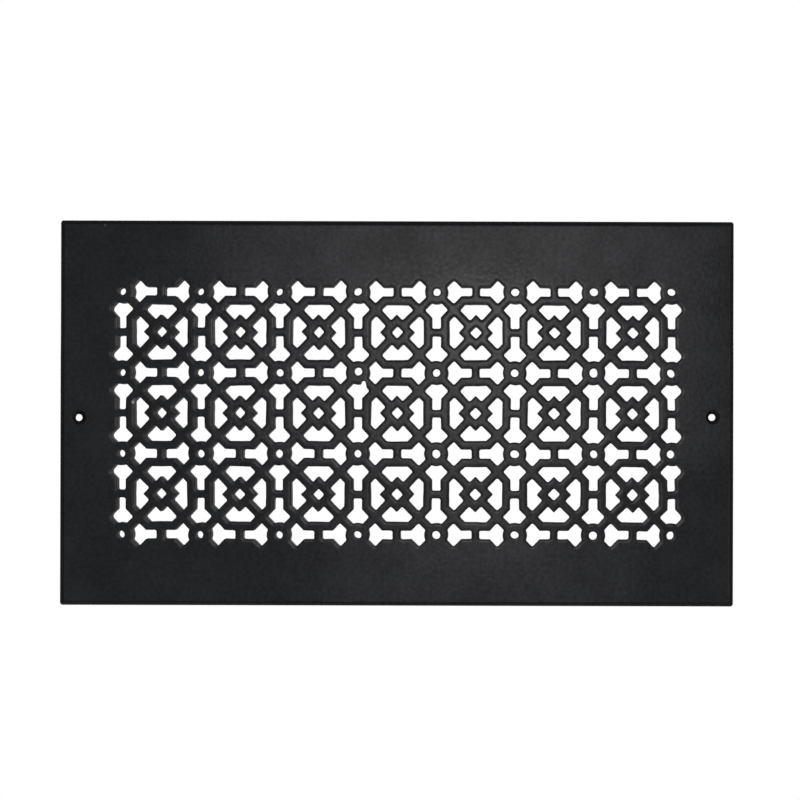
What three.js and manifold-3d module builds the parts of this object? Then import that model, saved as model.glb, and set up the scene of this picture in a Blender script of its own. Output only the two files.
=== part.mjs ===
// Return air grille for a wall or floor duct: one flat casting, pierced right through by a
// repeating pattern. Octagonal frames stand in columns and rows. Each holds a pierced diamond
// on two crossed ribs, and the ribs run on through the corners to small pierced rings. Between
// the rings lie keyhole slots, crossed halfway by a short link. Around the pattern is a broad
// plain border with a rounded front edge and a countersunk screw hole at each end.
//
// Millimetres, +X to the right, +Z up. The face looks along -Y, and the origin is the middle
// of the flat back, which lies against the wall.

import * as THREE from 'three';
import { ConvexGeometry } from 'three/addons/geometries/ConvexGeometry.js';
import { mergeVertices } from 'three/addons/utils/BufferGeometryUtils.js';
import Module from 'manifold-3d';

// Pattern
const columns = 7;
const rows = 3;
const pitchX = 41.5;
const pitchZ = 42.8;

// Plate: the margins run from the outermost ring centres to the plate's edges
const sideMargin = 32.55;
const levelMargin = 37.4;
const thickness = 6.35;
const edgeRadius = 2.2;
const cornerRadius = 1.5;

// Bars of the lattice
const slotWidth = 4.9;
const barWidth = 4.2;
const ribWidth = 4.1;
const linkWidth = 4.1;

// Pierced rings and diamonds: the diamond's sizes are measured square to its sides
const ringHoleRadius = 2.25;
const ringWall = 3.95;
const diamondHoleReach = 2.45;
const diamondWall = 4.0;

// Screw holes: the inset is from the plate's end, the drop from its middle line
const screwInset = 10.35;
const screwDrop = 2.2;
const screwHoleRadius = 2.15;
const countersinkRadius = 3.9;
const countersinkDepth = 2.4;

// Facets
const ringSides = 12;
const screwSides = 20;
const edgeSteps = 4;
const cornerSteps = 2;

// Cutters run past both faces by this much
const overrun = 1;

// Worked out from the sizes above
const plateWidth = columns * pitchX + 2 * sideMargin;
const plateHeight = rows * pitchZ + 2 * levelMargin;
const ringRadius = ringHoleRadius + ringWall;
const diamondReach = diamondHoleReach + diamondWall;

const wasm = await Module();
wasm.setup();

function solidOf(geometry) {
  const bare = geometry.index ? geometry : geometry.clone();
  bare.deleteAttribute('normal');
  bare.deleteAttribute('uv');
  const merged = mergeVertices(bare);
  const vertProperties = Float32Array.from(merged.attributes.position.array);
  const triVerts = Uint32Array.from(merged.index.array);
  return new wasm.Manifold(new wasm.Mesh({ numProp: 3, vertProperties, triVerts }));
}

function geometryOf(solid) {
  const mesh = solid.getMesh();
  const geometry = new THREE.BufferGeometry();
  geometry.setAttribute('position', new THREE.BufferAttribute(mesh.vertProperties, 3));
  geometry.setIndex(new THREE.BufferAttribute(mesh.triVerts, 1));
  geometry.computeVertexNormals();
  return geometry;
}

// A straight line in the pattern's plane: all points whose share along the normal is reach
function line(normalS, normalT, reach) {
  const normal = new THREE.Vector2(normalS, normalT).normalize();
  return { normal, reach };
}

function meet(a, b) {
  const cross = a.normal.cross(b.normal);
  return new THREE.Vector2(
    (a.reach * b.normal.y - b.reach * a.normal.y) / cross,
    (b.reach * a.normal.x - a.reach * b.normal.x) / cross,
  );
}

// The point where a line meets a circle about the origin, on the line's clockwise side
function meetCircle(edge, radius) {
  const along = new THREE.Vector2(edge.normal.y, -edge.normal.x);
  const run = Math.sqrt(radius * radius - edge.reach * edge.reach);
  return edge.normal.clone().multiplyScalar(edge.reach).addScaledVector(along, run);
}

// Adds the mirror images of an outline's right half, in reverse order, to close it
function closeByMirror(half) {
  const mirrored = half.filter((point) => point.x > 0).map((point) => new THREE.Vector2(-point.x, point.y));
  return half.concat(mirrored.reverse());
}

// The openings are drawn in local axes: T runs from the centre towards the opening's far end,
// and S lies across it. A frame's half size is what the slot leaves of the pitch, and the
// corner cuts run parallel to the ribs, at the mean of the two half sizes.
function halfSizes(pitchS, pitchT) {
  const halfS = (pitchS - slotWidth) / 2;
  const halfT = (pitchT - slotWidth) / 2;
  return { halfS, halfT, cut: (halfS + halfT) / 2 };
}

// One of the four openings between a frame's bar, its corners and the diamond, from the
// diamond's tip round to the bar
function crownOutline(pitchS, pitchT) {
  const { halfT, cut } = halfSizes(pitchS, pitchT);
  const bar = line(0, 1, halfT - barWidth);
  const corner = line(pitchT, pitchS, cut - barWidth);
  const rib = line(-pitchT, pitchS, ribWidth / 2);
  const diamond = line(pitchT, pitchS, diamondReach);
  const middle = line(1, 0, 0);
  return closeByMirror([
    meet(middle, diamond),
    meet(diamond, rib),
    meet(rib, corner),
    meet(corner, bar),
  ]);
}

// Half of a keyhole slot, from the ring it hangs on to the link across its middle
function keyholeOutline(pitchS, pitchT) {
  const { cut } = halfSizes(pitchS, pitchT);
  const halfPitch = new THREE.Vector2(pitchS / 2, pitchT / 2);
  const rib = line(-pitchT, pitchS, ribWidth / 2);
  const toFrame = line(pitchT, pitchS, 0);
  const corner = line(pitchT, pitchS, toFrame.normal.dot(halfPitch) - cut);
  const stem = line(1, 0, slotWidth / 2);
  const link = line(0, 1, (pitchT - linkWidth) / 2);
  return closeByMirror([
    new THREE.Vector2(0, ringRadius),
    meetCircle(rib, ringRadius),
    meet(rib, corner),
    meet(corner, stem),
    meet(stem, link),
  ]);
}

function diamondOutline() {
  const side = line(pitchZ, pitchX, diamondHoleReach);
  const right = meet(side, line(0, 1, 0));
  const top = meet(side, line(1, 0, 0));
  return [right, top, right.clone().negate(), top.clone().negate()];
}

function ringOutline() {
  const points = [];
  for (let i = 0; i < ringSides; i += 1) {
    const angle = (2 * Math.PI * (i + 0.5)) / ringSides;
    points.push(new THREE.Vector2(Math.cos(angle), Math.sin(angle)).multiplyScalar(ringHoleRadius));
  }
  return points;
}

// Turns a local outline so that T points up, down, right or left, and sets it at a centre
const turns = {
  up: (point) => new THREE.Vector2(point.x, point.y),
  down: (point) => new THREE.Vector2(point.x, -point.y),
  right: (point) => new THREE.Vector2(point.y, point.x),
  left: (point) => new THREE.Vector2(-point.y, point.x),
};

function placed(outline, turn, centre) {
  return new THREE.Shape(outline.map((point) => turn(point).add(centre)));
}

// All openings of the pattern, as flat shapes in the plate's own plane
function patternShapes() {
  const shapes = [];
  const crown = { level: crownOutline(pitchX, pitchZ), upright: crownOutline(pitchZ, pitchX) };
  const keyhole = { upright: keyholeOutline(pitchX, pitchZ), level: keyholeOutline(pitchZ, pitchX) };
  const diamond = diamondOutline();
  const ring = ringOutline();
  for (let row = 0; row < rows; row += 1) {
    for (let column = 0; column < columns; column += 1) {
      const centre = new THREE.Vector2(
        (column - (columns - 1) / 2) * pitchX,
        (row - (rows - 1) / 2) * pitchZ,
      );
      shapes.push(placed(diamond, turns.up, centre));
      shapes.push(placed(crown.level, turns.up, centre));
      shapes.push(placed(crown.level, turns.down, centre));
      shapes.push(placed(crown.upright, turns.right, centre));
      shapes.push(placed(crown.upright, turns.left, centre));
    }
  }
  for (let row = 0; row <= rows; row += 1) {
    for (let column = 0; column <= columns; column += 1) {
      const centre = new THREE.Vector2((column - columns / 2) * pitchX, (row - rows / 2) * pitchZ);
      shapes.push(placed(ring, turns.up, centre));
      if (row < rows) shapes.push(placed(keyhole.upright, turns.up, centre));
      if (row > 0) shapes.push(placed(keyhole.upright, turns.down, centre));
      if (column < columns) shapes.push(placed(keyhole.level, turns.right, centre));
      if (column > 0) shapes.push(placed(keyhole.level, turns.left, centre));
    }
  }
  return shapes;
}

function throughCutter(shapes) {
  const depth = thickness + 2 * overrun;
  const geometry = new THREE.ExtrudeGeometry(shapes, { depth, bevelEnabled: false, steps: 1 });
  geometry.translate(0, 0, -overrun);
  return solidOf(geometry);
}

// The plate's outline at one height above its back, drawn in by inset
function plateRing(inset, height) {
  const x = plateWidth / 2 - inset;
  const y = plateHeight / 2 - inset;
  const radius = Math.max(cornerRadius - inset, 0);
  if (radius === 0) {
    return [[x, y], [-x, y], [-x, -y], [x, -y]].map((corner) => new THREE.Vector3(...corner, height));
  }
  const outline = new THREE.Shape();
  outline.absarc(x - radius, y - radius, radius, 0, Math.PI / 2);
  outline.absarc(radius - x, y - radius, radius, Math.PI / 2, Math.PI);
  outline.absarc(radius - x, radius - y, radius, Math.PI, 1.5 * Math.PI);
  outline.absarc(x - radius, radius - y, radius, 1.5 * Math.PI, 2 * Math.PI);
  return outline.getPoints(cornerSteps).map((point) => new THREE.Vector3(point.x, point.y, height));
}

// The uncut plate: square at the back, with the front edge rounded all the way round
function plateBlank() {
  const points = plateRing(0, 0);
  for (let step = 0; step <= edgeSteps; step += 1) {
    const angle = (Math.PI / 2) * (step / edgeSteps);
    const inset = edgeRadius * (1 - Math.cos(angle));
    const height = thickness - edgeRadius * (1 - Math.sin(angle));
    points.push(...plateRing(inset, height));
  }
  return solidOf(new ConvexGeometry(points));
}

// A screw hole with its countersink, turned about its own axis and stood through the plate
function screwCutter(centreX) {
  const seat = thickness - countersinkDepth;
  const flare = (countersinkRadius - screwHoleRadius) / countersinkDepth;
  const profile = [
    new THREE.Vector2(0, -overrun),
    new THREE.Vector2(screwHoleRadius, -overrun),
    new THREE.Vector2(screwHoleRadius, seat),
    new THREE.Vector2(countersinkRadius + flare * overrun, thickness + overrun),
    new THREE.Vector2(0, thickness + overrun),
  ];
  const geometry = new THREE.LatheGeometry(profile, screwSides);
  geometry.rotateX(Math.PI / 2);
  geometry.translate(centreX, -screwDrop, 0);
  return solidOf(geometry);
}

function grilleMesh() {
  const screwReach = plateWidth / 2 - screwInset;
  const casting = plateBlank()
    .subtract(throughCutter(patternShapes()))
    .subtract(screwCutter(screwReach))
    .subtract(screwCutter(-screwReach));
  const satinBlack = new THREE.MeshStandardMaterial({ color: 0x1c1c1e, roughness: 0.5, metalness: 0.0 });
  const mesh = new THREE.Mesh(geometryOf(casting), satinBlack);
  mesh.name = 'grille';
  // The pattern was drawn flat: this stands it up, with the face looking along -Y
  mesh.rotation.x = Math.PI / 2;
  return mesh;
}

const grille = new THREE.Group();
grille.add(grilleMesh());

export default grille;
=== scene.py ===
"""Return air grille: a flat casting pierced by a lattice of octagons, diamonds and small rings.

The casting stands in for the plain solid of the frame. It has the same outlines and the same
size, with the rounded front edges, soft corners and small unevenness of a real casting, under a
satin black coat. The stage holds the floor, the lights and the camera.
"""

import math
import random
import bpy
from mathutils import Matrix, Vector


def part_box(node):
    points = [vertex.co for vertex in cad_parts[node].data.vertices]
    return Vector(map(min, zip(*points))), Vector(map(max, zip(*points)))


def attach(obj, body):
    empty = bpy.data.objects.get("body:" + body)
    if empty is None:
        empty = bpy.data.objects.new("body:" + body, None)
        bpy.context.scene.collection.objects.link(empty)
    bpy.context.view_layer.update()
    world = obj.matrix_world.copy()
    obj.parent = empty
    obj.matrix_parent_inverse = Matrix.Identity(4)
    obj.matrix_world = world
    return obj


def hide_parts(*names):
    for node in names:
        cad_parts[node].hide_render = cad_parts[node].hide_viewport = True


bl_info = {
    "name": "Return air grille",
    "version": (1, 0, 0),
    "blender": (4, 5, 0),
    "location": "3D View > Sidebar > Grille",
    "description": "Builds a pierced cast return air grille with a satin black coat",
    "category": "Add Mesh",
}

from typing import NamedTuple

import bpy
from bpy.props import FloatProperty, FloatVectorProperty, IntProperty, PointerProperty
from mathutils import Vector, noise
from mathutils.geometry import delaunay_2d_cdt

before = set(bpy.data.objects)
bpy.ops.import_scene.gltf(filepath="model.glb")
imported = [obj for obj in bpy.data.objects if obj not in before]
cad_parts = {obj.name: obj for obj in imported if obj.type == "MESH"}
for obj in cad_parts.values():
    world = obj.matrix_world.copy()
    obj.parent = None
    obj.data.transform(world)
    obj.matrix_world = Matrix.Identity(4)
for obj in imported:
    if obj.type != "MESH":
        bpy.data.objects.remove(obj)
cad_low, cad_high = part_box("grille")
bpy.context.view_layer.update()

MM = 0.001


def length(name, description, millimetres):
    return FloatProperty(
        name=name, description=description, default=millimetres * MM, unit="LENGTH", precision=5
    )


def colour(name, description, value):
    return FloatVectorProperty(
        name=name, description=description, default=value, min=0, max=1, subtype="COLOR"
    )


def brightness(name, description, value):
    return FloatProperty(name=name, description=description, default=value, min=0)


class GrilleSizes(bpy.types.PropertyGroup):
    """Sizes of the casting. The plate's own size comes from the frame."""

    columns: IntProperty(name="Columns", description="Octagonal frames across", default=7)
    rows: IntProperty(name="Rows", description="Octagonal frames up and down", default=3)
    pitch_x: length("Pitch across", "From one frame's centre to the next one across", 41.5)
    pitch_z: length("Pitch up", "From one frame's centre to the next one up", 42.8)
    slot_width: length("Slot", "Gap between two frames", 4.66)
    bar_width: length("Bar", "Width of a frame's bars", 4.44)
    rib_width: length("Rib", "Width of the crossed ribs", 4.34)
    link_width: length("Link", "Width of the short links across the slots", 4.05)
    ring_hole_radius: length("Ring hole", "Radius of the hole in a ring", 2.1)
    ring_wall: length("Ring wall", "Wall of a ring", 4.22)
    diamond_hole_reach: length("Diamond hole", "From a diamond's centre square to its hole", 2.33)
    diamond_wall: length("Diamond wall", "Wall of a diamond", 4.24)
    crown_width: length("Crown width", "How far the face slopes down to an opening", 1.9)
    crown_depth: length("Crown depth", "How deep the face slopes down to an opening", 0.19)
    ring_crown_width: length("Ring crown width", "How far the face slopes down to a ring's hole", 0.95)
    rounding: length("Front rounding", "Width of the rounding of the openings' front edges", 0.25)
    rounding_depth: length("Rounding depth", "How deep the rounded front edges fall", 0.24)
    back_break: length("Back break", "Small break of the edges at the back", 0.3)
    hollow_radius: length("Hollow corner", "Radius of an opening's hollow corners", 0.9)
    blunt_radius: length("Blunt corner", "Radius of the slots' corners beside the end borders", 1.9)
    tip_radius: length("Tip", "Radius of the metal tips that stand into an opening", 0.5)
    edge_width: length("Plate edge width", "How far the rounded front edge reaches into the face", 2.9)
    edge_depth: length("Plate edge depth", "How deep the rounded front edge falls", 2.2)
    corner_radius: length("Plate corner", "Radius of the plate's four corners", 1.5)
    screw_inset: length("Screw inset", "From the plate's end to a screw hole", 10.35)
    screw_drop: length("Screw drop", "From the plate's middle down to a screw hole", 2.2)
    screw_hole_radius: length("Screw hole", "Radius of a screw hole at its narrowest", 1.8)
    screw_hole_back: length("Screw hole at the back", "Radius of a screw hole at the back", 2.5)
    countersink_radius: length("Countersink", "Radius of a countersink at the face", 3.8)
    countersink_depth: length("Countersink depth", "Depth of a countersink", 2.0)
    wander: length("Wander", "How far the cast outlines stray from true", 0.3)
    lean: length("Lean", "How far the openings' walls lean to the right towards the back", 0.28)


class CoatLook(bpy.types.PropertyGroup):
    """Colours and finish of the coat."""

    dark: colour("Dark", "The coat where it is darkest", (0.010, 0.010, 0.0112))
    light: colour("Light", "The coat where it is lightest", (0.019, 0.019, 0.0203))
    # The fleck colour is the near-white that the small spots on the face are blended towards
    fleck: colour("Fleck", "Bare metal where the coat has chipped", (0.85, 0.84, 0.82))
    roughness: FloatProperty(
        name="Roughness", description="Roughness of the coat",
        default=0.13, min=0, max=1, subtype="FACTOR",
    )


class StudioLook(bpy.types.PropertyGroup):
    """Camera and light."""

    eye_distance: length("Eye distance", "From the lens to the grille's face", 870)
    eye_right: length("Eye to the right", "From the plate's middle to the camera's axis", 32)
    eye_up: length("Eye up", "From the plate's middle up to the camera's axis", -12)
    plate_pixels: FloatProperty(
        name="Plate on the picture", description="Width of the plate in pixels", default=672.8
    )
    roll: FloatProperty(
        name="Roll", description="Turn of the camera about its axis",
        default=math.radians(-0.15), subtype="ANGLE",
    )
    surround: brightness("Surround", "Light from all sides", 0.14)
    fill: brightness("Fill", "Brightness of the wide panel in front", 0.19)
    panel: brightness("Panel", "Brightness of the soft panel over the camera", 0.4)
    core: brightness("Core", "Brightness of the strips in the middle of that panel", 0.75)
    tall: brightness("Tall", "Brightness of the tall dim panel", 0.2)
    side: brightness("Side", "Brightness of the dim panel on the right", 0.14)
    rear: brightness("Rear", "Brightness of the panels behind the grille", 2)


# Outlines of the openings


class Side(NamedTuple):
    """One side of an opening: the level of a point is measured along the normal, into the metal.

    A side without a normal is the round outside of a ring about the origin.
    """

    normal: Vector
    reach: float


def straight(s, t, reach):
    return Side(Vector((s, t)).normalized(), reach)


def mirrored(sides):
    return [Side(Vector((-side.normal.x, side.normal.y)), side.reach) for side in reversed(sides)]


def crown_sides(sizes, pitch_s, pitch_t):
    """The opening between a frame's bar, its corners and the diamond, anticlockwise."""
    half_s = (pitch_s - sizes.slot_width) / 2
    half_t = (pitch_t - sizes.slot_width) / 2
    cut = (half_s + half_t) / 2
    diamond_reach = sizes.diamond_hole_reach + sizes.diamond_wall
    right = [
        straight(-pitch_t, -pitch_s, -diamond_reach),
        straight(pitch_t, -pitch_s, -sizes.rib_width / 2),
        straight(pitch_t, pitch_s, cut - sizes.bar_width),
    ]
    bar = straight(0, 1, half_t - sizes.bar_width)
    return [*right, bar, *mirrored(right)]


def keyhole_sides(sizes, pitch_s, pitch_t):
    """Half of a slot, from the ring it hangs on to the link across its middle."""
    cut = (pitch_s + pitch_t) / 4 - sizes.slot_width / 2
    to_frame = Vector((pitch_t, pitch_s)).normalized()
    frame_centre = Vector((pitch_s / 2, pitch_t / 2))
    right = [
        straight(pitch_t, -pitch_s, -sizes.rib_width / 2),
        Side(to_frame, to_frame.dot(frame_centre) - cut),
        straight(1, 0, sizes.slot_width / 2),
    ]
    ring = Side(None, -(sizes.ring_hole_radius + sizes.ring_wall))
    link = straight(0, 1, (pitch_t - sizes.link_width) / 2)
    return [ring, *right, link, *mirrored(right)]


def diamond_sides(sizes):
    reach = sizes.diamond_hole_reach
    return [
        straight(s * sizes.pitch_z, t * sizes.pitch_x, reach)
        for s, t in ((1, -1), (1, 1), (-1, 1), (-1, -1))
    ]


def meeting_point(a, b, shift):
    """The point whose level is each side's reach plus the shift."""
    if a.normal is None or b.normal is None:
        ring, edge = (a, b) if a.normal is None else (b, a)
        level = edge.reach + shift
        along = Vector((-edge.normal.y, edge.normal.x))
        run = math.sqrt((ring.reach + shift) ** 2 - level**2)
        points = [edge.normal * level + along * way * run for way in (-1, 1)]
        return max(points, key=lambda point: point.y)
    cross = a.normal.cross(b.normal)
    level_a, level_b = a.reach + shift, b.reach + shift
    return Vector((
        (level_a * b.normal.y - level_b * a.normal.y) / cross,
        (level_b * a.normal.x - level_a * b.normal.x) / cross,
    ))


# Steps round a corner, the smallest radius of a metal tip, and how far points stand apart along
# a straight side and along the outside of a ring
CORNER_STEPS = 3
LEAST_TIP = 0.05 * MM
SPACING = 2.2 * MM
RING_SPACING = 1.1 * MM


def corner(a, b, offset, sizes, hollow_radius):
    """The rounded corner between two sides, as points with their normals into the metal."""
    hollow = a.normal is None or b.normal is None or a.normal.cross(b.normal) > 0
    if hollow:
        radius = hollow_radius + offset
        centre = meeting_point(a, b, offset - radius)
    else:
        radius = max(sizes.tip_radius - offset, LEAST_TIP)
        centre = meeting_point(a, b, offset + radius)
        radius = -radius
    normal_a = a.normal or -centre.normalized()
    normal_b = b.normal or -centre.normalized()
    start = math.atan2(normal_a.y, normal_a.x)
    turn = math.atan2(normal_a.cross(normal_b), normal_a.dot(normal_b))
    found = []
    for step in range(CORNER_STEPS + 1):
        angle = start + turn * step / CORNER_STEPS
        normal = Vector((math.cos(angle), math.sin(angle)))
        found.append((centre + normal * radius, normal))
    return found


def between(side, start, end, count, offset):
    """Points along one side, between its two corners."""
    found = []
    for step in range(1, count + 1):
        share = step / (count + 1)
        if side.normal is None:
            point = start.slerp(end, share, start).normalized() * (-side.reach - offset)
            found.append((point, -point.normalized()))
        else:
            found.append((start.lerp(end, share), side.normal))
    return found


def all_corners(sides, offset, sizes, blunt):
    """The corners at the start of each side; those numbered in blunt are rounded more."""
    found = []
    for i, side in enumerate(sides):
        hollow_radius = sizes.blunt_radius if i in blunt else sizes.hollow_radius
        found.append(corner(sides[i - 1], side, offset, sizes, hollow_radius))
    return found


def outline(sides, offset, sizes, counts, blunt):
    """All points of an opening at an offset into the metal, with as many points at every offset."""
    corners = all_corners(sides, offset, sizes, blunt)
    found = []
    for i, side in enumerate(sides):
        start, end = corners[i][-1][0], corners[(i + 1) % len(sides)][0][0]
        found += corners[i]
        found += between(side, start, end, counts[i], offset)
    return found


def side_counts(sides, sizes, spacing, blunt):
    """How many points stand along each side, so that they aren't much further apart than spacing."""
    corners = all_corners(sides, 0, sizes, blunt)
    counts = []
    for i, side in enumerate(sides):
        run = (corners[(i + 1) % len(sides)][0][0] - corners[i][-1][0]).length
        step = min(spacing, RING_SPACING) if side.normal is None else spacing
        counts.append(max(1, math.ceil(run / step) - 1))
    return counts


def circle(radius, count):
    found = []
    for step in range(count):
        angle = 2 * math.pi * step / count
        normal = Vector((math.cos(angle), math.sin(angle)))
        found.append((normal * radius, normal))
    return found


# Levels of the walls


class Level(NamedTuple):
    """A level of a wall: how far it lies into the metal, its height over the back, and its tilt."""

    offset: float
    height: float
    tilt: float


CROWN_STEPS = 3
ROUNDING_STEPS = 3


def rounded(across, deep, share):
    """A quarter of an ellipse from wall to face: the offset, the drop below the face, the tilt."""
    turn = math.pi / 2 * share
    tilt = math.atan2(math.sin(turn) / deep, math.cos(turn) / across)
    return across * (1 - math.cos(turn)), deep * (1 - math.sin(turn)), tilt


def opening_levels(sizes, thickness, crown_width):
    """From the face down the crown's gentle slope, over the rounding and down the wall."""
    run = crown_width - sizes.rounding
    depth = sizes.crown_depth * run / (sizes.crown_width - sizes.rounding)
    levels = []
    for step in range(CROWN_STEPS + 1):
        share = step / CROWN_STEPS
        tilt = math.pi / 2 - math.atan(2 * depth / run * share)
        levels.append(Level(crown_width - run * share, thickness - depth * share**2, tilt))
    for step in range(1, ROUNDING_STEPS + 1):
        share = 1 - step / ROUNDING_STEPS
        offset, drop, tilt = rounded(sizes.rounding, sizes.rounding_depth, share)
        levels.append(Level(offset, thickness - depth - drop, min(tilt, levels[CROWN_STEPS].tilt)))
    levels.append(Level(0, sizes.back_break, 0))
    levels.append(Level(sizes.back_break, 0, -math.pi / 2))
    return levels


SINK_BREAK = 0.25 * MM
SCREW_SIDES = 48


def screw_levels(sizes, thickness):
    """A countersink and its hole, as radii: the face's edge is broken a little."""
    narrow, wide = sizes.screw_hole_radius, sizes.countersink_radius
    slope = math.atan2(wide - narrow, sizes.countersink_depth)
    flare = math.atan2(narrow - sizes.screw_hole_back, thickness)
    seat = thickness - sizes.countersink_depth
    return [
        Level(wide + SINK_BREAK, thickness, math.pi / 2),
        Level(wide, thickness - SINK_BREAK / 2, (math.pi / 2 + slope) / 2),
        Level(wide - SINK_BREAK, thickness - 1.5 * SINK_BREAK, slope),
        Level(narrow + SINK_BREAK / 2, seat, slope),
        Level(narrow, seat - SINK_BREAK / 2, 0),
        Level(sizes.screw_hole_back, sizes.back_break, flare),
        Level(sizes.screw_hole_back + sizes.back_break, 0, -math.pi / 2),
    ]


# The casting's mesh

# The triangulation keeps only what lies inside the outlines; it works in millimetres
INSIDE_ONLY = 1
TOLERANCE = 1e-5


class Casting:
    """Collects the points, faces and normals of the casting, drawn flat: right, up and height."""

    def __init__(self, sizes, width, height, thickness):
        self.sizes = sizes
        self.width = width
        self.height = height
        self.thickness = thickness
        self.points = []
        self.normals = []
        self.faces = []
        self.front_loops = []
        self.back_loops = []

    def add_ring(self, flat, height, tilt):
        """Adds one ring of points; each normal leans from the wall's own towards the face."""
        first = len(self.points)
        for point, normal in flat:
            outward = -normal * math.cos(tilt)
            self.points.append((point.x, point.y, height))
            self.normals.append((outward.x, outward.y, math.sin(tilt)))
        return list(range(first, len(self.points)))

    def join_rings(self, upper, lower):
        for i, near in enumerate(upper):
            following = (i + 1) % len(upper)
            self.faces.append((near, upper[following], lower[following], lower[i]))

    def add_wall(self, rings, faces_outwards=False):
        """Joins the rings from the face to the back, as an opening's wall or as the plate's edge."""
        step = -1 if faces_outwards else 1
        for upper, lower in zip(rings, rings[1:]):
            self.join_rings(upper[::step], lower[::step])
        self.front_loops.append(rings[0])
        self.back_loops.append(rings[-1])

    def cap(self, loops, flipped):
        """Closes the face or the back between the loops: the first is the plate's own."""
        indices = [index for loop in loops for index in loop]
        coordinates = [Vector(self.points[index][:2]) / MM for index in indices]
        first = 0
        outlines = []
        for loop in loops:
            outlines.append(list(range(first, first + len(loop))))
            first += len(loop)
        found = delaunay_2d_cdt(coordinates, [], outlines, INSIDE_ONLY, TOLERANCE, True)
        _, _, triangles, point_origins, _, face_origins = found
        for triangle, origins in zip(triangles, face_origins):
            if list(origins) != [0]:
                continue
            corners = [indices[point_origins[point][0]] for point in triangle]
            self.faces.append(tuple(reversed(corners)) if flipped else tuple(corners))

    def mesh(self, name):
        mesh = bpy.data.meshes.new(name)
        stand = [(x, -height, z) for x, z, height in self.points]
        mesh.from_pydata(stand, [], self.faces)
        mesh.shade_smooth()
        mesh.normals_split_custom_set_from_vertices(
            [Vector((x, -height, z)).normalized() for x, z, height in self.normals]
        )
        mesh.validate()
        return mesh


TURNS = {
    "up": lambda point: Vector((point.x, point.y)),
    "down": lambda point: Vector((point.x, -point.y)),
    "right": lambda point: Vector((point.y, point.x)),
    "left": lambda point: Vector((-point.y, point.x)),
}
FLIPPED_TURNS = ("down", "right")

# Two noises make the edges stray: each has its cells per metre and a layer of its own
BROAD_WAVE = 0.07 / MM
BROAD_LAYER = 0.37
FINE_WAVE = 0.27 / MM
FINE_LAYER = 5.81
FINE_SHARE = 0.45


def stray(point, amount):
    """How far a cast edge lies from its true place, the same for front and back."""
    broad = noise.noise_vector(Vector((point.x * BROAD_WAVE, point.y * BROAD_WAVE, BROAD_LAYER)))
    fine = noise.noise_vector(Vector((point.x * FINE_WAVE, point.y * FINE_WAVE, FINE_LAYER)))
    both = (broad + fine * FINE_SHARE) * amount
    return Vector((both.x, both.y))


def placed(flat, turn, centre, wander, shift):
    """Turns a local outline, sets it at a centre and lets it wander and shift to the right."""
    found = []
    for point, normal in flat:
        there = TURNS[turn](point) + centre
        away = stray(there, wander) + Vector((shift, 0))
        found.append((there + away, TURNS[turn](normal)))
    if turn in FLIPPED_TURNS:
        found.reverse()
    return found


# The flawed ring, by column and row: its hole lies high, and a square notch cuts into its outside
# from the slot below. The notch's wall slopes back and in with the offset into the metal.
FLAWED_RING = (3, 2)
FLAWED_HOLE_SHIFT = Vector((0.05, 0.9)) * MM
FLAWED_HOLE_GROWTH = 0.06
NOTCH_ACROSS = -17.55 * MM
NOTCH_TOP = 17.1 * MM
NOTCH_HALF = 1.3 * MM
NOTCH_SOFT = 0.6 * MM
NOTCH_FLOOR = 13.2 * MM
NOTCH_SLOPE = 0.35
NOTCH_TAPER = 0.35


def notched(flat, offset):
    """The outline of the slot below the flawed ring, with the notch at its top."""
    found = []
    for point, normal in flat:
        half = NOTCH_HALF - NOTCH_TAPER * offset
        inside = (half - abs(point.x - NOTCH_ACROSS)) / NOTCH_SOFT + 0.5
        rise = NOTCH_TOP + NOTCH_SLOPE * offset - point.y
        if point.y > NOTCH_FLOOR and rise > 0:
            point = point + Vector((0, rise * min(max(inside, 0), 1)))
        found.append((point, normal))
    return found


def opening(casting, draw, turn, centre, flawed=False, crown_width=None):
    """Adds the wall of one opening; draw gives its outline at an offset into the metal."""
    sizes = casting.sizes
    rings = []
    for level in opening_levels(sizes, casting.thickness, crown_width or sizes.crown_width):
        shift = sizes.lean * (1 - level.height / casting.thickness)
        flat = placed(draw(level.offset), turn, centre, sizes.wander, shift)
        if flawed:
            flat = notched(flat, level.offset)
        rings.append(casting.add_ring(flat, level.height, level.tilt))
    casting.add_wall(rings)


def drawer(sides, sizes, spacing=SPACING, blunt=()):
    """A function that gives an opening's outline at any offset."""
    counts = side_counts(sides, sizes, spacing, blunt)
    return lambda offset: outline(sides, offset, sizes, counts, blunt)


# How uneven the rings' holes are: shares of the radius, and how far they lie off their place
RING_HOLE_SIDES = 28
HOLE_SPREAD = 0.06
HOLE_GROWTH = 0.04
HOLE_STRETCH = 0.07
HOLE_STRAY = 0.16 * MM
RIGHT_HOLES_SHIFT = Vector((-0.55, 0)) * MM


def ring_hole_drawer(sizes, chance, column, row):
    """A ring's hole, a little uneven in size, shape and place, as cast.

    The holes grow to the right, and those of the last column lie a little further left.
    """
    across = 2 * column / sizes.columns - 1
    growth = HOLE_GROWTH * across + chance.uniform(-HOLE_SPREAD, HOLE_SPREAD)
    if (column, row) == FLAWED_RING:
        growth += FLAWED_HOLE_GROWTH
    radius = sizes.ring_hole_radius * (1 + growth)
    stretch = chance.uniform(0, HOLE_STRETCH)
    lean = chance.uniform(0, math.pi)
    shift = Vector((chance.uniform(-1, 1), chance.uniform(-1, 1))) * HOLE_STRAY
    if (column, row) == FLAWED_RING:
        shift += FLAWED_HOLE_SHIFT
    if column == sizes.columns:
        shift += RIGHT_HOLES_SHIFT

    def draw(offset):
        found = []
        for point, normal in circle(radius + offset, RING_HOLE_SIDES):
            along = math.cos(2 * (math.atan2(point.y, point.x) - lean))
            found.append((point * (1 + stretch * along) + shift, normal))
        return found

    return draw


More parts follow.
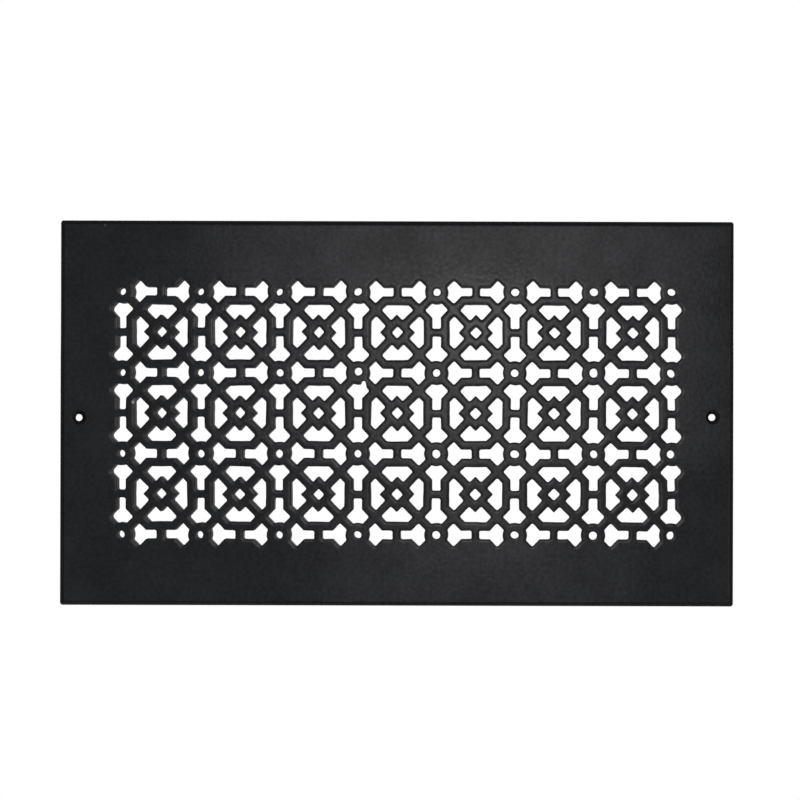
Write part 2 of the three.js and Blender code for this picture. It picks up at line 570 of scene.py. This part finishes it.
class Beside(NamedTuple):
    """How an upright half slot differs beside an end border: a blunt corner, two sides drawn in.

    The corner and the sides are numbered as keyhole_sides lists them.
    """

    corner: int
    sides: tuple
    narrower: float


LEFT_END = Beside(7, (5, 6), 0.15 * MM)
RIGHT_END = Beside(2, (2, 3), 0.45 * MM)
FLAW_SPACING = 0.22 * MM


def keyhole_drawer(sizes, column, row, turn):
    """The upright half slot on a ring, with whether it holds the flaw."""
    sides = keyhole_sides(sizes, sizes.pitch_x, sizes.pitch_z)
    end = {0: LEFT_END, sizes.columns: RIGHT_END}.get(column)
    blunt = ()
    if end:
        blunt = (end.corner,)
        for i in end.sides:
            sides[i] = Side(sides[i].normal, sides[i].reach - end.narrower)
    flawed = (column, row) == FLAWED_RING and turn == "down"
    spacing = FLAW_SPACING if flawed else SPACING
    return drawer(sides, sizes, spacing, blunt), flawed


# Fixes the wander of the outlines and the unevenness of the rings' holes, the same on each run
SEED = 7


def add_pattern(casting):
    sizes = casting.sizes
    noise.seed_set(SEED)
    chance = random.Random(SEED)
    crown_level = drawer(crown_sides(sizes, sizes.pitch_x, sizes.pitch_z), sizes)
    crown_upright = drawer(crown_sides(sizes, sizes.pitch_z, sizes.pitch_x), sizes)
    keyhole_level = drawer(keyhole_sides(sizes, sizes.pitch_z, sizes.pitch_x), sizes)
    diamond = drawer(diamond_sides(sizes), sizes)
    for row in range(sizes.rows):
        for column in range(sizes.columns):
            across = (column - (sizes.columns - 1) / 2) * sizes.pitch_x
            up = (row - (sizes.rows - 1) / 2) * sizes.pitch_z
            centre = Vector((across, up))
            opening(casting, diamond, "up", centre)
            opening(casting, crown_level, "up", centre)
            opening(casting, crown_level, "down", centre)
            opening(casting, crown_upright, "right", centre)
            opening(casting, crown_upright, "left", centre)
    for row in range(sizes.rows + 1):
        for column in range(sizes.columns + 1):
            across = (column - sizes.columns / 2) * sizes.pitch_x
            up = (row - sizes.rows / 2) * sizes.pitch_z
            centre = Vector((across, up))
            hole = ring_hole_drawer(sizes, chance, column, row)
            opening(casting, hole, "up", centre, crown_width=sizes.ring_crown_width)
            if row < sizes.rows:
                draw, flawed = keyhole_drawer(sizes, column, row, "up")
                opening(casting, draw, "up", centre, flawed)
            if row > 0:
                draw, flawed = keyhole_drawer(sizes, column, row, "down")
                opening(casting, draw, "down", centre, flawed)
            if column < sizes.columns:
                opening(casting, keyhole_level, "right", centre)
            if column > 0:
                opening(casting, keyhole_level, "left", centre)


# How far each countersink lies off its place, and each bore off the middle of its countersink
LEFT_SCREW_STRAY = Vector((0, -0.3)) * MM
RIGHT_SCREW_STRAY = Vector((-0.75, 0.6)) * MM
LEFT_DRILL_SLIP = Vector((-0.55, -0.1)) * MM
RIGHT_DRILL_SLIP = Vector((-0.3, -0.1)) * MM


def add_screw_holes(casting):
    sizes = casting.sizes
    reach = casting.width / 2 - sizes.screw_inset
    for side, screw_stray, slip in (
        (-1, LEFT_SCREW_STRAY, LEFT_DRILL_SLIP),
        (1, RIGHT_SCREW_STRAY, RIGHT_DRILL_SLIP),
    ):
        centre = Vector((reach * side, -sizes.screw_drop)) + screw_stray
        rings = []
        for level in screw_levels(sizes, casting.thickness):
            share = min((casting.thickness - level.height) / sizes.countersink_depth, 1)
            middle = centre + slip * share
            flat = [(point + middle, normal) for point, normal in circle(level.offset, SCREW_SIDES)]
            rings.append(casting.add_ring(flat, level.height, level.tilt))
        casting.add_wall(rings)


EDGE_STEPS = 8
PLATE_CORNER_STEPS = 8
LEAST_CORNER = 0.08 * MM


def plate_outline(casting, inset):
    """The plate's outline, anticlockwise, with normals that point into the metal."""
    radius = max(casting.sizes.corner_radius - inset, LEAST_CORNER)
    reach = Vector((casting.width / 2 - inset - radius, casting.height / 2 - inset - radius))
    found = []
    for quarter, (side_x, side_y) in enumerate(((1, 1), (-1, 1), (-1, -1), (1, -1))):
        centre = Vector((reach.x * side_x, reach.y * side_y))
        for step in range(PLATE_CORNER_STEPS + 1):
            angle = math.pi / 2 * (quarter + step / PLATE_CORNER_STEPS)
            outward = Vector((math.cos(angle), math.sin(angle)))
            found.append((centre + outward * radius, -outward))
    return found


def add_plate_edge(casting):
    sizes = casting.sizes
    levels = []
    for step in range(EDGE_STEPS + 1):
        inset, drop, tilt = rounded(sizes.edge_width, sizes.edge_depth, 1 - step / EDGE_STEPS)
        levels.append(Level(inset, casting.thickness - drop, tilt))
    levels.append(Level(0, sizes.back_break, 0))
    levels.append(Level(sizes.back_break, 0, -math.pi / 2))
    rings = []
    for level in levels:
        flat = plate_outline(casting, level.offset)
        rings.append(casting.add_ring(flat, level.height, level.tilt))
    casting.add_wall(rings, faces_outwards=True)


def casting_mesh(sizes):
    width = cad_high.x - cad_low.x
    height = cad_high.z - cad_low.z
    thickness = cad_high.y - cad_low.y
    casting = Casting(sizes, width, height, thickness)
    add_plate_edge(casting)
    add_screw_holes(casting)
    add_pattern(casting)
    casting.cap(casting.front_loops, flipped=False)
    casting.cap(casting.back_loops, flipped=True)
    return casting.mesh("grille_casting")


# The coat

# The sockets that a Mix node uses for colours, by number: other sockets have the same names
MIX_SHARE = 0
MIX_START = 6
MIX_END = 7
MIX_RESULT = 2


class Shade:
    """A shader socket on which Python sums build: each adds a Math node to its tree."""

    def __init__(self, tree, socket=None):
        self.tree = tree
        self.socket = socket

    def node(self, kind, settings=(), inputs=(), output=0):
        """Adds a node: its settings come first, then the values or links of its sockets."""
        made = self.tree.nodes.new(kind)
        for name, value in dict(settings).items():
            setattr(made, name, value)
        for name, value in dict(inputs).items():
            if isinstance(value, Shade):
                self.tree.links.new(value.socket, made.inputs[name])
            else:
                made.inputs[name].default_value = value
        return Shade(self.tree, None if output is None else made.outputs[output])

    def math(self, operation, first, second, clamped=False):
        settings = {"operation": operation, "use_clamp": clamped}
        return self.node("ShaderNodeMath", settings, {0: first, 1: second})

    def __add__(self, other):
        return self.math("ADD", self, other)

    def __sub__(self, other):
        return self.math("SUBTRACT", self, other)

    def __rsub__(self, other):
        return self.math("SUBTRACT", other, self)

    def __mul__(self, other):
        return self.math("MULTIPLY", self, other)

    def __truediv__(self, other):
        return self.math("DIVIDE", self, other)

    def __rtruediv__(self, other):
        return self.math("DIVIDE", other, self)

    __radd__ = __add__
    __rmul__ = __mul__

    def clamped(self):
        return self.math("ADD", self, 0.0, clamped=True)

    def noise(self, scale, detail):
        """Noise over this vector, from 0 to 1; the scale is in cells per metre."""
        values = {"Vector": self, "Scale": scale, "Detail": detail}
        return self.node("ShaderNodeTexNoise", {}, values, "Fac")

    def distance(self, point):
        """How far this vector lies from a point."""
        return self.node("ShaderNodeVectorMath", {"operation": "DISTANCE"}, {0: self, 1: point}, "Value")

    def blend(self, start, end):
        """A colour that goes from start to end as this value goes from 0 to 1."""
        inputs = {MIX_SHARE: self, MIX_START: start, MIX_END: end}
        return self.node("ShaderNodeMix", {"data_type": "RGBA"}, inputs, MIX_RESULT)


# The coat's noises, from broad clouds to fine grain. A noise is MIDDLING on average.
CLOUD = {"scale": 17, "detail": 3}
MOTTLE = {"scale": 60, "detail": 3}
PEEL = {"scale": 460, "detail": 1.5}
GRAIN = {"scale": 2300, "detail": 2}
MIDDLING = 0.5

# How much each noise counts in the coat's tone, roughness, gloss and relief
TONE_CLOUD = 0.5
TONE_MOTTLE = 0.4
TONE_PEEL = 0.1
ROUGHNESS_SWING = 0.1
GLOSS_LEVEL = 0.25
GLOSS_PEEL = 0.95
GLOSS_MOTTLE = 0.7
RELIEF_PEEL = 0.93
RELIEF_GRAIN = 0.07
RELIEF_HEIGHT = 0.045 * MM
SPECULAR_LEVEL = 0.4


class Spot(NamedTuple):
    """A round spot on the face: its middle, its radius, the width of its soft edge, its strength."""

    place: Vector
    radius: float
    edge: float
    strength: float


# Small near-white spots on the face: one on the rounded edge of a bar at the left, a fainter one round
# it, and a faint one on the top edge towards the left end
FLECK = Spot(Vector((-139.05, -6.1, 5.55)) * MM, 0.8 * MM, 0.5 * MM, 1)
SCRAPE = Spot(Vector((-138.3, -6.1, 6.5)) * MM, 1.3 * MM, 0.5 * MM, 0.2)
SCUFF = Spot(Vector((-154.0, -6.2, 98.9)) * MM, 0.6 * MM, 0.5 * MM, 0.16)
DULL = Spot(Vector((1.5, -6.3, 90)) * MM, 14 * MM, 16 * MM, 0.2)


def shown(place, spot):
    """The spot's strength inside it and 0 outside; its soft edge lies half on each side."""
    return ((spot.radius - place.distance(spot.place)) / spot.edge + 0.5).clamped() * spot.strength


def coat_material(look):
    material = bpy.data.materials.new("satin_black_coat")
    material.use_nodes = True
    tree = material.node_tree
    tree.nodes.clear()
    start = Shade(tree)
    place = start.node("ShaderNodeTexCoord", output="Object")
    cloud = place.noise(**CLOUD)
    mottle = place.noise(**MOTTLE)
    peel = place.noise(**PEEL)
    grain = place.noise(**GRAIN)
    tone = (cloud * TONE_CLOUD + mottle * TONE_MOTTLE + peel * TONE_PEEL).clamped()
    # Where the near-white spots blend the coat's colour towards the fleck colour
    pale_spots = (shown(place, FLECK) + shown(place, SCRAPE) + shown(place, SCUFF)).clamped()
    coat_colour = tone.blend((*look.dark, 1), (*look.light, 1))
    uneven = (cloud - MIDDLING) * ROUGHNESS_SWING + (mottle - MIDDLING) * ROUGHNESS_SWING
    glint = (peel - MIDDLING) * GLOSS_PEEL + (mottle - MIDDLING) * GLOSS_MOTTLE
    relief = peel * RELIEF_PEEL + grain * RELIEF_GRAIN
    bump = start.node("ShaderNodeBump", {}, {"Height": relief, "Distance": RELIEF_HEIGHT}, "Normal")
    values = {
        "Base Color": pale_spots.blend(coat_colour, (*look.fleck, 1)),
        "Roughness": uneven + look.roughness,
        "Normal": bump,
        "Specular IOR Level": SPECULAR_LEVEL,
        "Coat Weight": (glint + GLOSS_LEVEL - shown(place, DULL)).clamped(),
        "Coat Roughness": look.roughness,
    }
    surface = start.node("ShaderNodeBsdfPrincipled", {}, values, "BSDF")
    start.node("ShaderNodeOutputMaterial", {}, {"Surface": surface}, None)
    return material


class GRILLE_OT_cast_grille(bpy.types.Operator):
    """Casts the pierced grille and coats it"""

    bl_idname = "grille.cast_grille"
    bl_label = "Cast the grille"

    def execute(self, context):
        mesh = casting_mesh(context.scene.grille_sizes)
        piece = bpy.data.objects.new("grille_casting", mesh)
        context.scene.collection.objects.link(piece)
        mesh.materials.append(coat_material(context.scene.grille_coat))
        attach(piece, "root")
        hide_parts("grille")
        return {"FINISHED"}


# The stage

PICTURE_PIXELS = 800
SENSOR_WIDTH = 36
PLATE_CENTRE_PIXELS = Vector((396.95, 413.45))


def add_camera(scene, look):
    """A camera square to the face. The lens shift puts the plate where the photograph has it."""
    data = bpy.data.cameras.new("camera")
    data.sensor_width = SENSOR_WIDTH
    # The plate is widest where its rounded front edge ends
    distance = look.eye_distance + scene.grille_sizes.edge_depth
    width = cad_high.x - cad_low.x
    picture_share = look.plate_pixels / PICTURE_PIXELS
    data.lens = picture_share * SENSOR_WIDTH * distance / width
    camera = bpy.data.objects.new("camera", data)
    scene.collection.objects.link(camera)
    camera.location = (look.eye_right, cad_low.y - look.eye_distance, look.eye_up)
    camera.rotation_euler = (math.pi / 2, look.roll, 0)
    turned_x = -look.eye_right * math.cos(look.roll) + look.eye_up * math.sin(look.roll)
    turned_y = -look.eye_up * math.cos(look.roll) - look.eye_right * math.sin(look.roll)
    scale = data.lens / SENSOR_WIDTH / distance
    target = PLATE_CENTRE_PIXELS / PICTURE_PIXELS
    data.shift_x = 0.5 + turned_x * scale - target.x
    data.shift_y = turned_y * scale - 0.5 + target.y
    scene.camera = camera


PLAIN = (1, 1, 1)
COOL = (0.89, 0.97, 1.13)
MILD = (1.01, 0.985, 0.995)


class LitPanel(NamedTuple):
    """A soft lit panel: its place and size in metres, and its share of a studio brightness."""

    name: str
    place: tuple
    size: tuple
    colour: tuple
    brightness: str
    share: float = 1


LIT_PANELS = (
    LitPanel("fill_panel", (0.1, -1.9, 0.1), (2.4, 1.9), COOL, "fill"),
    LitPanel("key_panel", (0.035, -0.95, 0.105), (0.54, 0.29), MILD, "panel"),
    LitPanel("key_core", (0.048, -0.94, 0.12), (0.14, 0.055), MILD, "core", 2.1),
    LitPanel("key_strip", (0.05, -0.94, -0.03), (0.15, 0.25), MILD, "core", 0.4),
    LitPanel("tall_panel", (0.05, -0.96, -0.1), (0.34, 0.9), MILD, "tall"),
    LitPanel("side_panel", (0.68, -0.95, 0.05), (0.5, 0.6), MILD, "side"),
    LitPanel("rear_panel", (-1.1, 1.1, 0.5), (0.8, 0.8), PLAIN, "rear"),
    LitPanel("rear_panel", (1.1, 1.1, 0.5), (0.8, 0.8), PLAIN, "rear"),
)


def add_panel(scene, look, lit):
    """Adds a panel that faces the grille's middle."""
    data = bpy.data.lights.new(lit.name, "AREA")
    data.shape = "RECTANGLE"
    data.size, data.size_y = lit.size
    data.energy = lit.share * getattr(look, lit.brightness) * math.pi * data.size * data.size_y
    data.color = lit.colour
    panel = bpy.data.objects.new(lit.name, data)
    scene.collection.objects.link(panel)
    panel.location = lit.place
    panel.rotation_euler = (-Vector(lit.place)).to_track_quat("-Z", "Y").to_euler()


def add_surround(scene, look):
    """White behind everything for the camera, and a soft grey light on the grille."""
    world = bpy.data.worlds.new("surround")
    scene.world = world
    world.use_nodes = True
    tree = world.node_tree
    tree.nodes.clear()
    start = Shade(tree)
    seen = start.node("ShaderNodeLightPath", output="Is Camera Ray")
    strength = seen * (1 - look.surround) + look.surround
    light = start.node("ShaderNodeBackground", {}, {"Color": (*PLAIN, 1), "Strength": strength})
    start.node("ShaderNodeOutputWorld", {}, {"Surface": light}, None)


# The floor, in metres; it fades from a share of its radius on
FLOOR_DROP = 0.5
FLOOR_RADIUS = 1.05
FLOOR_FADE_START = 0.375
FLOOR_SIDES = 96
FLOOR_COLOUR = (0.86, 0.86, 0.85, 1)


def add_floor(scene):
    """A pale floor that fades out into the white round it."""
    mesh = bpy.data.meshes.new("floor")
    rim = [point for point, _ in circle(FLOOR_RADIUS, FLOOR_SIDES)]
    mesh.from_pydata([(p.x, p.y, 0) for p in rim], [], [tuple(range(FLOOR_SIDES))])
    floor = bpy.data.objects.new("floor", mesh)
    scene.collection.objects.link(floor)
    floor.location.z = -FLOOR_DROP
    material = bpy.data.materials.new("pale_floor")
    material.use_nodes = True
    tree = material.node_tree
    tree.nodes.clear()
    start = Shade(tree)
    place = start.node("ShaderNodeTexCoord", output="Object")
    share = place.distance(Vector()) / FLOOR_RADIUS
    fade = ((share - FLOOR_FADE_START) / (1 - FLOOR_FADE_START)).clamped()
    pale = start.node("ShaderNodeBsdfDiffuse", {}, {"Color": FLOOR_COLOUR})
    clear = start.node("ShaderNodeBsdfTransparent")
    mixed = start.node("ShaderNodeMixShader", {}, {0: fade, 1: pale, 2: clear})
    start.node("ShaderNodeOutputMaterial", {}, {"Surface": mixed}, None)
    mesh.materials.append(material)


class GRILLE_OT_set_stage(bpy.types.Operator):
    """Sets the floor, the lights and the camera"""

    bl_idname = "grille.set_stage"
    bl_label = "Set the stage"

    def execute(self, context):
        scene = context.scene
        look = scene.grille_studio
        scene.view_settings.view_transform = "Standard"
        add_camera(scene, look)
        add_surround(scene, look)
        for lit in LIT_PANELS:
            add_panel(scene, look, lit)
        add_floor(scene)
        return {"FINISHED"}


class GRILLE_PT_sidebar(bpy.types.Panel):
    """Lists the grille's sizes, its coat and the stage"""

    bl_label = "Return air grille"
    bl_idname = "GRILLE_PT_sidebar"
    bl_space_type = "VIEW_3D"
    bl_region_type = "UI"
    bl_category = "Grille"

    def draw(self, context):
        layout = self.layout
        for operator, group in (
            (GRILLE_OT_cast_grille, context.scene.grille_sizes),
            (None, context.scene.grille_coat),
            (GRILLE_OT_set_stage, context.scene.grille_studio),
        ):
            box = layout.box()
            for name in group.__annotations__:
                box.prop(group, name)
            if operator:
                box.operator(operator.bl_idname)


CLASSES = (
    GrilleSizes,
    CoatLook,
    StudioLook,
    GRILLE_OT_cast_grille,
    GRILLE_OT_set_stage,
    GRILLE_PT_sidebar,
)


def register():
    for kind in CLASSES:
        bpy.utils.register_class(kind)
    bpy.types.Scene.grille_sizes = PointerProperty(type=GrilleSizes)
    bpy.types.Scene.grille_coat = PointerProperty(type=CoatLook)
    bpy.types.Scene.grille_studio = PointerProperty(type=StudioLook)


def unregister():
    del bpy.types.Scene.grille_sizes
    del bpy.types.Scene.grille_coat
    del bpy.types.Scene.grille_studio
    for kind in reversed(CLASSES):
        bpy.utils.unregister_class(kind)


def main():
    register()
    bpy.ops.grille.cast_grille()
    bpy.ops.grille.set_stage()


if __name__ == "__main__":
    main()
